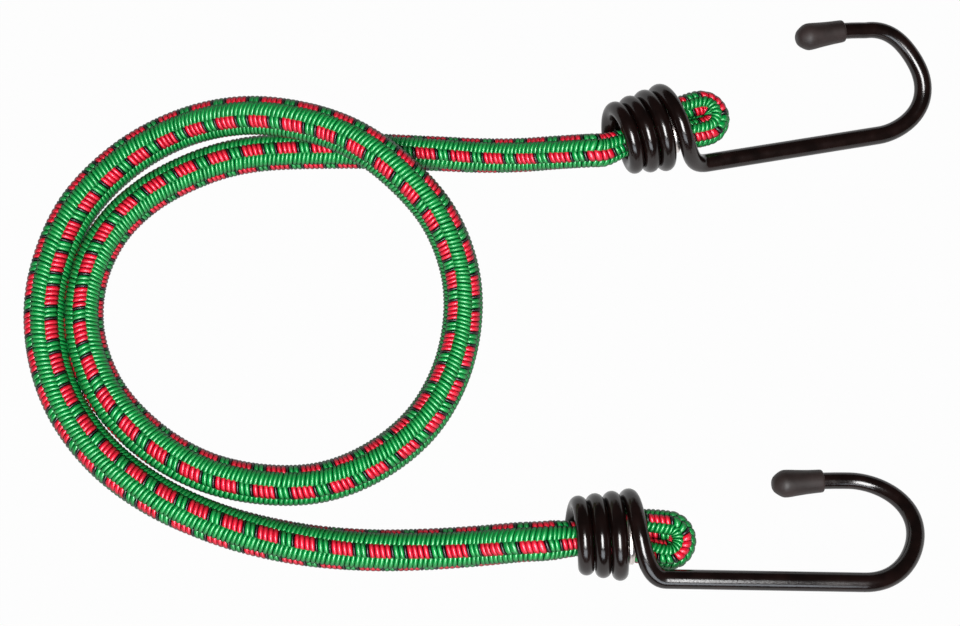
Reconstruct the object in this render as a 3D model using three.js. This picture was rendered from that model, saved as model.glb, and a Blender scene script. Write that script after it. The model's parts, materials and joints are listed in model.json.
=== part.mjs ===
// A bungee cord lying on a table: a braided sheath over a rubber core, with a wire hook at each end.
// The cord is folded back on itself at each end, clamped by a staple and held in the hook's tapered coil.
// Millimetres, +Z up. The origin is on the table, midway between the hooks.
import * as THREE from "three";

const { Vector3 } = THREE;

// Cord
const CORD_DIAMETER = 9.8;
const CORD_FLAT = 1; // depth of the flat that the cord lies on
const SHEATH_WALL = 0.9;
const FIT = 0.3; // gap between pieces that touch
const NECK_LENGTH = 36; // rises from the table to the hook's coil
const LEAD_LENGTH = 42; // straight stretch before the loop
const CORD_STEP = 9;
const NECK_STEP = 6;

// Hook wire, with its coating
const COIL_WIRE = 3.6;
const SHANK_WIRE = 4.5;
const ARM_WIRE = 4.1;
const TURN_GAP = 0.42;
const COIL_TURNS = 3; // between the first and the last crest of the coil
const COIL_START = -95; // degrees before the first crest
const COIL_OPENING = 0.4; // extra advance of the last quarter turn
const BORE_SMALL = 5.5; // radius at the coil's mouth
const BORE_LARGE = 7.3; // radius at the hook's side of the coil
const SHANK_OFFSET = 11.5; // from the coil's axis to the shank's middle where it starts
const SHANK_BEND = 8.6; // from the coil to the straight shank
const BEND_LEAVING = 7.5; // how straight the wire leaves the coil
const BEND_ARRIVING = 5; // how straight it comes onto the shank
const SHANK_LENGTH = 46.7;
const CROOK_RADIUS = 13.85;
const ARM_LENGTH = 16.2;

// Tip cap
const CAP_LENGTH = 12.6;
const CAP_WALL = 0.65;
const CAP_BULB = 0.5; // how far the bulb stands out past the lip
const CAP_SHOULDER = 4.5; // from the straight sleeve to the bulb's widest place
const CAP_NOSE = 3; // from there to the end
const CAP_FACE = 2.1; // radius of the blunt end
const CAP_CROWN = 0.4; // how far the blunt end swells
const CAP_END_WALL = 2.2;

// Folded cord end and its staple
const STRAND_GAP = 0.5;
const MOUTH_SLACK = 1; // between the cord and the bore at the coil's mouth
const MOUTH_OFFSET = 0.7; // the cord's middle lies this far beside the coil's axis there
const MOUTH_STUB = 5; // straight cord outside the mouth
const TAIL_RETURN = 4.1; // the tail ends this far from the coil's large end
const FOLD_REACH = 9; // from the coil's large end to the middle of the fold
const STRAND_HEIGHT = 0.66; // of the bore's radius
const STRAND_EASE = 1; // length over which the strands draw in to the staple
const FOLD_EASE = 2.4; // length over which they swell to the fold
const STAPLE_PAST_COIL = 0.6; // from the coil's last crest to the staple's middle
const STAPLE_WIDTH = 2;
const STAPLE_WALL = 0.8;
const STAPLE_OPENING = 40; // degrees left open under the cord

// Where each hook lies: the middle of its coil's first crest, and its turn in degrees.
// The wires are bent by hand, so each differs a little from the sizes above: how far its shank, crook and arm
// are over or under size, the shank's slant away from the axis in degrees, how much fuller the crook is on its
// arm's side, and how far the arm bows out and its tip leans in.
const HOOK_A = {
  place: { x: -33.6, y: 39.8, yaw: 15.4, pitch: 5.2, roll: 18 },
  over: { offset: -0.4, length: -0.5, radius: -0.35, arm: -0.2 },
  bend: { slant: 4.3, fuller: -1.2, bow: 1.3, lean: 0.8 },
};
const HOOK_B = {
  place: { x: -44.8, y: -58.6, yaw: -0.3, pitch: 0.9, roll: -27 },
  over: { offset: 0.4, length: 0.5, radius: 0.35, arm: 0.2 },
  bend: { slant: 0.7, fuller: 0.7, bow: 0, lean: 1.3 },
};

// The cord's route from hook a to hook b: x, y and the height above lying on the table
const ROUTE = [
  [-47.3, 36.8, 6.8],
  [-58, 37.4, 2.4],
  [-68, 38, 0.2],
  [-80, 38.6, 0],
  [-104, 39.3, 0],
  [-127, 38.2, 0],
  [-140, 34.4, 0],
  [-152.9, 27, 0],
  [-161.3, 17.5, 0],
  [-166, 5.6, 0],
  [-166.2, -8.1, 0],
  [-161, -21.9, 0],
  [-150.6, -33.8, 0],
  [-136.6, -42.2, 0],
  [-121.5, -45.8, 0],
  [-106.5, -45.3, 0],
  [-93.5, -40.1, 0],
  [-82.5, -31, 0],
  [-75.5, -19, 0],
  [-72.3, -5, 0],
  [-73, 7.5, 1.6],
  [-78.2, 20, 6.2],
  [-88.3, 31, 10.2],
  [-100, 39.3, 10.8],
  [-113.2, 44.1, 10],
  [-129, 46.6, 6],
  [-145, 44.4, 1.3],
  [-159, 36.4, 0],
  [-170.5, 23.4, 0],
  [-176.3, 5.5, 0],
  [-176.1, -9.9, 0],
  [-171.1, -25, 0],
  [-161.3, -38.2, 0],
  [-147.5, -48.5, 0],
  [-130.5, -55.9, 0],
  [-112, -60.3, 0],
  [-95, -61.8, 0],
  [-80, -61.6, 0],
  [-68, -60.9, 1.4],
  [-58.5, -60.3, 5.2],
];

const CORD_SIDES = 10;
const CORE_SIDES = 8;
const WIRE_SIDES = 8;
const TURN_STEPS = 20;
const CROOK_STEPS = 13;
const CAP_SIDES = 12;

const material = (color, roughness, metalness = 0) =>
  new THREE.MeshStandardMaterial({ color, roughness, metalness });
const BRAID = material(0x1f7a3c, 0.6);
const RUBBER = material(0xd9cfae, 0.7);
const COATED_WIRE = material(0x241a18, 0.25);
const VINYL = material(0x3a3536, 0.75);
const ZINC = material(0xcfcac4, 0.3, 1);

const rad = THREE.MathUtils.degToRad;
const smooth = (x, a, b) => THREE.MathUtils.smoothstep(x, a, b);
const mix = THREE.MathUtils.lerp;

// Faces

// A closed body through rings of points. A ring goes anticlockwise as seen from the path's end.
function loft(rings, innerRings = null) {
  const corners = [];
  const triangle = (a, b, c) => corners.push(a, b, c);
  const quad = (a, b, c, d) => {
    triangle(a, b, c);
    triangle(a, c, d);
  };
  const wall = (list, outward) => {
    for (let i = 0; i + 1 < list.length; i++) {
      const n = list[i].length;
      for (let k = 0; k < n; k++) {
        const m = (k + 1) % n;
        const [a, b, c, d] = [list[i][k], list[i][m], list[i + 1][m], list[i + 1][k]];
        if (outward) quad(a, b, c, d);
        else quad(d, c, b, a);
      }
    }
  };
  const disc = (ring, forward) => {
    for (let k = 1; k + 1 < ring.length; k++) {
      if (forward) triangle(ring[0], ring[k], ring[k + 1]);
      else triangle(ring[0], ring[k + 1], ring[k]);
    }
  };
  const annulus = (outer, inner, forward) => {
    for (let k = 0; k < outer.length; k++) {
      const m = (k + 1) % outer.length;
      if (forward) quad(outer[k], outer[m], inner[m], inner[k]);
      else quad(inner[k], inner[m], outer[m], outer[k]);
    }
  };
  const last = rings.length - 1;
  wall(rings, true);
  if (innerRings) {
    wall(innerRings, false);
    annulus(rings[0], innerRings[0], false);
    annulus(rings[last], innerRings[last], true);
  } else {
    disc(rings[0], false);
    disc(rings[last], true);
  }
  return new THREE.BufferGeometry().setFromPoints(corners);
}

// A ring of points round a station of a path: halves are its half width and half height.
function ringAt(station, sides, shrink) {
  const ring = [];
  for (let k = 0; k < sides; k++) {
    const angle = (2 * Math.PI * (k + 0.5)) / sides;
    const across = (station.halfWidth - shrink) * Math.cos(angle);
    const above = (station.halfHeight - shrink) * Math.sin(angle);
    const floor = station.flat === undefined ? -Infinity : shrink - station.flat;
    ring.push(
      station.point
        .clone()
        .addScaledVector(station.side, across)
        .addScaledVector(station.up, Math.max(above, floor)),
    );
  }
  return ring;
}

const solidTube = (stations, sides, shrink = 0) =>
  loft(stations.map((s) => ringAt(s, sides, shrink)));
const hollowTube = (stations, sides, wall) =>
  loft(
    stations.map((s) => ringAt(s, sides, 0)),
    stations.map((s) => ringAt(s, sides, wall)),
  );

// Directions across and above a path at each of its points. The path never runs along the given axis.
function frameAlong(points, axis) {
  return points.map((point, i) => {
    const before = points[Math.max(0, i - 1)];
    const after = points[Math.min(points.length - 1, i + 1)];
    const along = after.clone().sub(before).normalize();
    const side = axis.clone().cross(along).normalize();
    return { side, up: along.clone().cross(side).normalize() };
  });
}

const root = new THREE.Group();

function add(parent, name, geometry, finish) {
  const mesh = new THREE.Mesh(geometry, finish);
  mesh.name = name;
  parent.add(mesh);
  return mesh;
}

// Hook wire: coil along +X, shank, crook in the XY plane and arm

const TURN_PITCH = COIL_WIRE + TURN_GAP;
const COIL_LENGTH = COIL_TURNS * TURN_PITCH;
const boreAt = (x) => mix(BORE_SMALL, BORE_LARGE, x / COIL_LENGTH);

function coilPoint(degrees) {
  const lastQuarter = Math.max(0, degrees / 360 - COIL_TURNS) * 4;
  const x = (TURN_PITCH * degrees) / 360 + COIL_OPENING * lastQuarter ** 2;
  const radius = boreAt(x) + COIL_WIRE / 2;
  return new Vector3(x, radius * Math.cos(rad(degrees)), radius * Math.sin(rad(degrees)));
}

// A hook's own sizes, its shank's direction and the direction across to the arm
function bentWire(hook) {
  const shank = new Vector3(Math.cos(rad(hook.bend.slant)), -Math.sin(rad(hook.bend.slant)), 0);
  const across = new Vector3(-shank.y, shank.x, 0);
  const start = new Vector3(COIL_LENGTH + SHANK_BEND, -(SHANK_OFFSET + hook.over.offset), 0);
  const length = SHANK_LENGTH + hook.over.length;
  const radius = CROOK_RADIUS + hook.over.radius;
  const arm = ARM_LENGTH + hook.over.arm;
  const centre = start.clone().addScaledVector(shank, length).addScaledVector(across, radius);
  return { shank, across, start, length, radius, arm, centre, bend: hook.bend };
}

// Where the arm's middle lies at a distance back from the crook
function armPoint(wire, back) {
  const share = back / wire.arm;
  const aside = wire.radius + wire.bend.bow * share * (2 - share) - wire.bend.lean * share ** 2;
  return wire.centre.clone().addScaledVector(wire.across, aside).addScaledVector(wire.shank, -back);
}

function hookStations(wire) {
  const stations = [];
  const put = (point, outward, thickness) => stations.push({ point, outward, thickness });
  const fromAxis = (point) => new Vector3(0, point.y, point.z).normalize();
  const coilEnd = COIL_TURNS * 360 + 90;
  const coilSteps = Math.round(((coilEnd - COIL_START) / 360) * TURN_STEPS);
  for (let i = 0; i <= coilSteps; i++) {
    const point = coilPoint(mix(COIL_START, coilEnd, i / coilSteps));
    put(point, fromAxis(point), COIL_WIRE);
  }
  const leave = coilPoint(coilEnd);
  const leaving = leave.clone().sub(coilPoint(coilEnd - 1)).normalize();
  const bend = new THREE.CubicBezierCurve3(
    leave,
    leave.clone().addScaledVector(leaving, BEND_LEAVING),
    wire.start.clone().addScaledVector(wire.shank, -BEND_ARRIVING),
    wire.start,
  );
  const bendSteps = 10;
  for (let i = 1; i <= bendSteps; i++) {
    const point = bend.getPoint(i / bendSteps);
    put(point, fromAxis(point), mix(COIL_WIRE, SHANK_WIRE, smooth(i / bendSteps, 0, 1)));
  }
  const shankSteps = 3;
  for (let i = 1; i < shankSteps; i++) {
    const point = wire.start.clone().addScaledVector(wire.shank, (wire.length * i) / shankSteps);
    put(point, wire.across.clone().negate(), SHANK_WIRE);
  }
  for (let i = 0; i <= CROOK_STEPS; i++) {
    const turn = mix(-90, 90, i / CROOK_STEPS);
    const forward = Math.cos(rad(turn));
    const sideways = Math.sin(rad(turn));
    const outward = wire.shank.clone().multiplyScalar(forward).addScaledVector(wire.across, sideways);
    const radius = wire.radius + 2 * wire.bend.fuller * sideways * forward ** 3;
    const point = wire.centre.clone().addScaledVector(outward, radius);
    put(point, outward, mix(SHANK_WIRE, ARM_WIRE, smooth(turn, -90, 60)));
  }
  const armSteps = 4;
  for (let i = 1; i <= armSteps; i++) {
    put(armPoint(wire, (wire.arm * i) / armSteps), wire.across, ARM_WIRE);
  }
  return stations.map((s, i) => {
    const before = stations[Math.max(0, i - 1)].point;
    const after = stations[Math.min(stations.length - 1, i + 1)].point;
    const along = after.clone().sub(before).normalize();
    const side = s.outward.clone().addScaledVector(along, -s.outward.dot(along)).normalize();
    const up = along.clone().cross(side).normalize();
    return { point: s.point, side, up, halfWidth: s.thickness / 2, halfHeight: s.thickness / 2 };
  });
}

// Vinyl sleeve over the arm's end, with a closed, rounded bulb. Its profile runs from the lip, at 0.
function capGeometry() {
  const bore = ARM_WIRE / 2 + FIT;
  const lip = bore + CAP_WALL;
  const bulb = lip + CAP_BULB;
  const boreEnd = CAP_LENGTH - CAP_END_WALL;
  const widest = CAP_LENGTH - CAP_NOSE;
  const sleeveEnd = widest - CAP_SHOULDER;
  const outline = new THREE.Path();
  outline.moveTo(0, boreEnd);
  outline.lineTo(bore, boreEnd);
  outline.lineTo(bore, 0);
  outline.lineTo(lip, 0);
  outline.lineTo(lip, sleeveEnd);
  outline.quadraticCurveTo(lip, (sleeveEnd + widest) / 2, bulb, widest);
  outline.quadraticCurveTo(bulb, CAP_LENGTH - CAP_CROWN, CAP_FACE, CAP_LENGTH - CAP_CROWN);
  outline.lineTo(0, CAP_LENGTH);
  const profile = outline.getPoints(3);
  return new THREE.LatheGeometry(profile, CAP_SIDES);
}

function addCap(parent, name, wire) {
  const boreEnd = CAP_LENGTH - CAP_END_WALL - FIT;
  const lipAt = armPoint(wire, wire.arm - boreEnd);
  const tipAt = armPoint(wire, wire.arm);
  const cap = add(parent, name, capGeometry(), VINYL);
  cap.position.copy(lipAt);
  cap.quaternion.setFromUnitVectors(new Vector3(0, 1, 0), tipAt.clone().sub(lipAt).normalize());
}

// Folded cord end: in through the mouth on the -Y side, round the fold and back on the +Y side

const FOLD_RADIUS = BORE_LARGE / 2;
const FOLD_X = COIL_LENGTH + FOLD_REACH;
const TAIL_X = COIL_LENGTH - TAIL_RETURN;
const MOUTH_RADIUS = BORE_SMALL - MOUTH_SLACK;
const STAPLE_X = COIL_LENGTH + STAPLE_PAST_COIL;

function pairSection(x) {
  const bore = Math.min(boreAt(x), BORE_LARGE);
  const halfWidth = (bore - FIT - STRAND_GAP / 2) / 2;
  return { offset: halfWidth + STRAND_GAP / 2, halfWidth, halfHeight: bore * STRAND_HEIGHT };
}

// The strands under the staple leave room for it inside the bore.
function clampedSection() {
  const bore = BORE_LARGE - STAPLE_WALL - FIT;
  const halfWidth = (bore - FIT - STRAND_GAP / 2) / 2;
  return { offset: halfWidth + STRAND_GAP / 2, halfWidth, halfHeight: bore * STRAND_HEIGHT };
}

function foldStations() {
  const mouth = { offset: MOUTH_OFFSET, halfWidth: MOUTH_RADIUS, halfHeight: MOUTH_RADIUS };
  const easing = {
    offset: (MOUTH_OFFSET + pairSection(TAIL_X).offset) / 3,
    halfWidth: MOUTH_RADIUS * 0.9,
    halfHeight: MOUTH_RADIUS * 1.03,
  };
  const foldHalf = FOLD_RADIUS - STRAND_GAP / 2 - FIT / 2;
  const fold = { offset: FOLD_RADIUS, halfWidth: foldHalf, halfHeight: BORE_LARGE * STRAND_HEIGHT };
  const clampedFrom = STAPLE_X - STAPLE_WIDTH / 2 - FIT;
  const clampedTo = STAPLE_X + STAPLE_WIDTH / 2 + FIT;
  const back = [
    [TAIL_X, pairSection(TAIL_X)],
    [clampedFrom - STRAND_EASE, pairSection(clampedFrom - STRAND_EASE)],
    [clampedFrom, clampedSection()],
    [clampedTo, clampedSection()],
    [clampedTo + FOLD_EASE, fold],
    [FOLD_X, fold],
  ];
  const standing = [
    [-MOUTH_STUB, mouth],
    [-MOUTH_STUB / 2, mouth],
    [0, mouth],
    [TAIL_X / 2, easing],
    ...back,
  ];
  const list = [];
  const put = (x, y, section) =>
    list.push({ point: new Vector3(x, y, 0), halfWidth: section.halfWidth, halfHeight: section.halfHeight });
  standing.forEach(([x, section]) => put(x, -section.offset, section));
  const foldSteps = 8;
  for (let i = 1; i < foldSteps; i++) {
    const turn = rad(mix(-90, 90, i / foldSteps));
    put(FOLD_X + FOLD_RADIUS * Math.cos(turn), FOLD_RADIUS * Math.sin(turn), fold);
  }
  back.reverse().forEach(([x, section]) => put(x, section.offset, section));
  const frames = frameAlong(list.map((s) => s.point), new Vector3(0, 0, 1));
  return list.map((s, i) => ({ ...s, side: frames[i].side, up: frames[i].up }));
}

// Flat wire bent round both strands, open under the cord
function stapleGeometry() {
  const section = clampedSection();
  const from = STAPLE_X - STAPLE_WIDTH / 2;
  const to = STAPLE_X + STAPLE_WIDTH / 2;
  const openHalf = STAPLE_OPENING / 2;
  const corner = (x, middle, turn, wall) =>
    new Vector3(
      x,
      middle + (section.halfWidth + FIT + wall) * Math.cos(turn),
      (section.halfHeight + FIT + wall) * Math.sin(turn),
    );
  const rings = [];
  const put = (middle, degrees) => {
    const turn = rad(degrees);
    rings.push([
      corner(from, middle, turn, 0),
      corner(to, middle, turn, 0),
      corner(to, middle, turn, STAPLE_WALL),
      corner(from, middle, turn, STAPLE_WALL),
    ]);
  };
  const steps = 9;
  for (let i = 0; i <= steps; i++) put(section.offset, mix(openHalf - 90, 90, i / steps));
  for (let i = 0; i <= steps; i++) put(-section.offset, mix(90, 270 - openHalf, i / steps));
  return loft(rings);
}

// One hook with the cord end in it. The hook turns on the coil's axis, so its roll leaves the cord end level.
function addEnd(sizes, letter) {
  const { place } = sizes;
  const end = new THREE.Group();
  end.rotation.set(0, rad(place.pitch), rad(place.yaw), "ZYX");
  const hook = new THREE.Group();
  hook.rotation.x = rad(place.roll);
  end.add(hook);
  root.add(end);
  const wire = bentWire(sizes);
  add(hook, `hook_wire_${letter}`, solidTube(hookStations(wire), WIRE_SIDES), COATED_WIRE);
  addCap(hook, `tip_cap_${letter}`, wire);
  end.position.set(place.x, place.y, 0);
  end.updateMatrixWorld(true);
  end.position.z = -new THREE.Box3().setFromObject(hook, true).min.z;
  const strand = foldStations();
  add(end, `sheath_fold_${letter}`, hollowTube(strand, CORD_SIDES, SHEATH_WALL), BRAID);
  add(end, `core_fold_${letter}`, solidTube(strand, CORE_SIDES, SHEATH_WALL + FIT), RUBBER);
  add(end, `staple_${letter}`, stapleGeometry(), ZINC);
  end.updateMatrixWorld(true);
  return end;
}

const endA = addEnd(HOOK_A, "a");
const endB = addEnd(HOOK_B, "b");

// Cord from hook to hook

const REST_HEIGHT = CORD_DIAMETER / 2 - CORD_FLAT;
const mouthPoints = (end) =>
  [MOUTH_STUB + FIT, MOUTH_STUB * 1.6].map((back) =>
    end.localToWorld(new Vector3(-back, -MOUTH_OFFSET, 0)),
  );
const routePoints = [
  ...mouthPoints(endA),
  ...ROUTE.map(([x, y, lift]) => new Vector3(x, y, REST_HEIGHT + lift)),
  ...mouthPoints(endB).reverse(),
];
const route = new THREE.CatmullRomCurve3(routePoints, false, "centripetal");
route.arcLengthDivisions = 2000;
const routeLength = route.getLength();

// Stations of the cord between two lengths along it, never below the table.
// Near a hook it narrows to the coil's mouth.
function cordStations(from, to, step) {
  const steps = Math.max(2, Math.round((to - from) / step));
  const stations = [];
  for (let i = 0; i <= steps; i++) {
    const along = mix(from, to, i / steps);
    const point = route.getPointAt(along / routeLength);
    point.z = Math.max(point.z, REST_HEIGHT);
    const tangent = route.getTangentAt(along / routeLength);
    const side = new Vector3(0, 0, 1).cross(tangent).normalize();
    const toMouth = Math.min(along, routeLength - along);
    const full = smooth(toMouth, 0, NECK_LENGTH * 0.8);
    const half = mix(MOUTH_RADIUS, CORD_DIAMETER / 2, full);
    stations.push({
      point,
      side,
      up: tangent.clone().cross(side).normalize(),
      halfWidth: half,
      halfHeight: half,
      flat: half - CORD_FLAT * full,
    });
  }
  return stations;
}

const neckEnd = NECK_LENGTH;
const leadEnd = NECK_LENGTH + LEAD_LENGTH;
const stretches = [
  ["neck_a", 0, neckEnd, NECK_STEP],
  ["lead_a", neckEnd, leadEnd, CORD_STEP],
  ["loop", leadEnd, routeLength - leadEnd, CORD_STEP],
  ["lead_b", routeLength - leadEnd, routeLength - neckEnd, CORD_STEP],
  ["neck_b", routeLength - neckEnd, routeLength, NECK_STEP],
];
for (const [name, from, to, step] of stretches) {
  const stations = cordStations(from + FIT / 2, to - FIT / 2, step);
  add(root, `sheath_${name}`, hollowTube(stations, CORD_SIDES, SHEATH_WALL), BRAID);
  add(root, `core_${name}`, solidTube(stations, CORE_SIDES, SHEATH_WALL + FIT), RUBBER);
}

// Least gaps, measured on points

// The smallest distance between points of a path that are further apart along it than a given length
function leastApart(points, apartAlong) {
  const lengths = [0];
  for (let i = 1; i < points.length; i++) {
    lengths.push(lengths[i - 1] + points[i].distanceTo(points[i - 1]));
  }
  let least = Infinity;
  points.forEach((p, i) => {
    for (let k = i + 1; k < points.length; k++) {
      if (lengths[k] - lengths[i] > apartAlong) least = Math.min(least, p.distanceTo(points[k]));
    }
  });
  return least;
}

const cordGap = leastApart(route.getSpacedPoints(1200), 60) - CORD_DIAMETER;
const coilPoints = [];
for (let degrees = COIL_START; degrees <= COIL_TURNS * 360; degrees += 2) {
  coilPoints.push(coilPoint(degrees));
}
const coilGap = leastApart(coilPoints, Math.PI * BORE_SMALL) - COIL_WIRE;
console.log(`cord ${routeLength.toFixed(1)} mm between the coils' mouths`);
console.log(`least gap of the cord to itself ${cordGap.toFixed(2)} mm`);
console.log(`least gap between the coil's turns ${coilGap.toFixed(2)} mm`);

export default root;
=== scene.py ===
import json
import math

import bpy
import numpy as np
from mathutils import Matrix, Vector


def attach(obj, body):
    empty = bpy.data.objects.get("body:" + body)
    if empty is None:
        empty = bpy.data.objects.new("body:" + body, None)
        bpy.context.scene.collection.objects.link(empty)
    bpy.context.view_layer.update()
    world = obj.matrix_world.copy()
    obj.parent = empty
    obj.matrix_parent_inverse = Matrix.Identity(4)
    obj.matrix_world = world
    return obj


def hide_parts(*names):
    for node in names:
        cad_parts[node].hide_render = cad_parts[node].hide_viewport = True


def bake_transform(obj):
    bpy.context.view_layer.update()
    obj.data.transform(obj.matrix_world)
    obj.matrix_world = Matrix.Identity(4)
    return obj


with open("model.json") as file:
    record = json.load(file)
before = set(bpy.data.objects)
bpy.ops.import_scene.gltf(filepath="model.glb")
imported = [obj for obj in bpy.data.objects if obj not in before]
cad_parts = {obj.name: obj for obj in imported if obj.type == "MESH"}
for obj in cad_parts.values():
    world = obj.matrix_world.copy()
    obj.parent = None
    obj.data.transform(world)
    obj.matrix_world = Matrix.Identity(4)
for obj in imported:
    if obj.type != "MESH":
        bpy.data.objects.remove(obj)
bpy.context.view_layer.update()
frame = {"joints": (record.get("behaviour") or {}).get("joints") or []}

WORLD_UP = np.array([0.0, 0.0, 1.0])
LETTERS = ("a", "b")

# Cord
REST_HEIGHT = 0.00485  # middle of the cord above the table where it lies
CURVE_STEPS = 24  # steps of the curve from one point of the route to the next
LINE_STEP = 0.00025
NECK_LENGTH = 0.036
LEAD_LENGTH = 0.042
CORD_PATH_STEP = 0.004

# The cord's route from hook a to hook b: x, y and the height above lying on the table
ROUTE = [
    (-0.0473, 0.0368, 0.0068),
    (-0.058, 0.0374, 0.0024),
    (-0.068, 0.038, 0.0002),
    (-0.08, 0.0386, 0),
    (-0.104, 0.0393, 0),
    (-0.127, 0.0382, 0),
    (-0.14, 0.0344, 0),
    (-0.1529, 0.027, 0),
    (-0.1615, 0.0176, 0),
    (-0.1663, 0.0056, 0),
    (-0.1665, -0.0081, 0),
    (-0.1612, -0.022, 0),
    (-0.1506, -0.0338, 0),
    (-0.1366, -0.0422, 0),
    (-0.1215, -0.0458, 0),
    (-0.1065, -0.0453, 0),
    (-0.0935, -0.0401, 0),
    (-0.0825, -0.031, 0),
    (-0.0755, -0.019, 0),
    (-0.0723, -0.005, 0),
    (-0.073, 0.0075, 0.0016),
    (-0.0782, 0.02, 0.0062),
    (-0.0883, 0.031, 0.0102),
    (-0.1, 0.0393, 0.0108),
    (-0.1132, 0.0441, 0.01),
    (-0.129, 0.0466, 0.006),
    (-0.145, 0.0444, 0.0013),
    (-0.159, 0.0364, 0),
    (-0.1703, 0.0233, 0),
    (-0.1763, 0.0055, 0),
    (-0.1761, -0.0099, 0),
    (-0.1711, -0.025, 0),
    (-0.1613, -0.0382, 0),
    (-0.1475, -0.0485, 0),
    (-0.1305, -0.0559, 0),
    (-0.112, -0.0603, 0),
    (-0.095, -0.0618, 0),
    (-0.08, -0.0616, 0),
    (-0.068, -0.0609, 0.0014),
    (-0.0585, -0.0603, 0.0052),
]

# Radius of the braid at lengths along the route: the hook's pull draws the first end thin
CORD_RADII = [
    (0.0, 0.0044),
    (0.02, 0.0044),
    (0.06, 0.0046),
    (0.1, 0.0048),
    (0.15, 0.005),
    (0.19, 0.0052),
    (0.25, 0.0051),
    (0.3, 0.005),
    (0.4, 0.0051),
    (0.43, 0.0053),
    (0.5, 0.0052),
    (0.58, 0.0051),
    (0.617, 0.0049),
]

# Two points of the route just outside each coil's mouth: how far back along its axis, and how far beside it
APPROACH = {
    "a": [(0.0053, 0.0019), (0.008, 0.0014)],
    "b": [(0.0053, 0.0013), (0.008, 0.00155)],
}
# At the mouth, squeezed by the first turn: how far the cord lies beside the axis, and its radius
MOUTH = {"a": (0.0014, 0.0036), "b": (0.001, 0.0043)}

# Folded end in each hook, from mouth to tail: along the coil, beside it, half width, half height
FOLD_LINE = [
    (0.003, -0.0013, 0.004, 0.0044),
    (0.006, -0.0024, 0.0034, 0.0045),
    (0.009, -0.0031, 0.003, 0.0045),
    (0.0127, -0.0031, 0.0029, 0.0044),
    (0.0165, -0.0033, 0.0036, 0.0046),
    (0.0212, -0.0035, 0.0038, 0.0046),
    (0.0231, -0.0031, 0.0038, 0.0046),
    (0.0244, -0.0018, 0.0038, 0.0046),
    (0.0249, 0.0, 0.0038, 0.0046),
    (0.0244, 0.0018, 0.0038, 0.0046),
    (0.0231, 0.0031, 0.0038, 0.0046),
    (0.0212, 0.0035, 0.0038, 0.0046),
    (0.0165, 0.0033, 0.0036, 0.0046),
    (0.0127, 0.0031, 0.0029, 0.0044),
    (0.009, 0.0031, 0.003, 0.0045),
]
FOLD_SHIFT = {"a": 0.0001, "b": -0.0012}  # how far each fold leans sideways past the coil
FOLD_SHIFT_FROM = 0.0138  # where it starts to lean, along the coil
FOLD_SHIFT_OVER = 0.006

# Braid: columns of ribs slanting one way (patterned) alternate with columns slanting the other (green).
# Each patterned rib has a yarn and a width, in ribs of a plain column.
COLUMNS = 4
COLUMN_ANGLE = 360 / COLUMNS
PATTERN = [
    ("red", 1.12),
    ("red", 1.12),
    ("red", 1.12),
    ("red", 1.12),
    ("black", 0.66),
    ("green", 1.1),
    ("green", 1.1),
    ("black", 0.66),
]
YARNS = ("green", "red", "black", "base")
PERIOD = len(PATTERN)
BLOCK_MIDDLE = 2.24  # the red block's middle, in ribs
COLUMN_SHIFT = PERIOD / COLUMNS  # ribs that the pattern moves along from column to column
PLAIN_SHIFT = 0.5  # ribs from a patterned column to the plain one beside it
PATTERN_DEGREES_PER_RIB = -95  # a rib slants by one rib's pitch in this turn
PLAIN_DEGREES_PER_RIB = 85
PATTERN_HALF_TURN = 29  # degrees from a rib's middle to its tucked end
PLAIN_HALF_TURN = 33
RIB_YARNS = np.array([YARNS.index(yarn) for yarn, width in PATTERN])
RIB_WIDTHS = np.array([width for yarn, width in PATTERN])
RIB_CENTRES = np.cumsum(RIB_WIDTHS) - RIB_WIDTHS / 2
RIB_HALF_WIDTH = 0.58  # of the ribs' pitch
RIB_STATIONS = np.array([-1.0, -0.7, -0.25, 0.25, 0.7, 1.0])  # from end to end, in half turns
RIB_TAPER = np.array([0.8, 0.95, 1.0, 1.0, 0.95, 0.8])
RIB_PROFILE = np.array([(-1, -0.5), (-0.58, 0.6), (0, 1), (0.58, 0.6), (1, -0.5)])  # across, and its height
RIB_THICKNESS = 0.00024
RIB_DIP = 0.001  # how deep a rib's ends tuck in
RIB_DIP_POWER = 3
RIB_UNEVEN = 0.05  # how far ribs differ from one another
BASE_DEPTH = 0.0006  # from the braid's surface down to the plain green tube under the ribs
BASE_SIDES = 20
BASE_STEP = 0.002
CHANCE_SEED = 7

# Middle of some numbered red blocks along the route, in the first patterned column
BLOCK_MARKS = [
    (-9, -0.071),
    (0, 0.01),
    (4, 0.046),
    (17, 0.16),
    (26, 0.242),
    (40, 0.363),
    (54, 0.49),
    (64, 0.581),
    (67, 0.61),
    (76, 0.691),
]

# How far that column is rolled round the cord from its top, in degrees, at lengths along the route
ROLLS = [
    (0.01, 40),
    (0.07, 3),
    (0.17, -3),
    (0.21, -26),
    (0.29, -52),
    (0.39, -50),
    (0.51, -57),
    (0.57, -95),
    (0.61, -113),
]

# Maps of the braid: places along and round each rib, and a picture map with a cell for each rib
YARN_MAP = "Yarn"
PICTURE_MAP = "OFBake"
TONE = "tone"  # a chance shade for each rib
END_DISC_MIDDLE = (0.5, 1.04)  # where the flat end of a rib or tube lies on its map
END_DISC_RADIUS = 0.02
CELL_MARGIN = 0.06  # round each rib in the picture map
CELL_FILL = 1 - 2.5 * CELL_MARGIN
BASE_STRIP_SIZE = (0.98, 0.8)  # the tube's strip under the cells: share of the map's width, and cells high
BASE_STRIP_CORNER = (0.01, 0.05)

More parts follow.
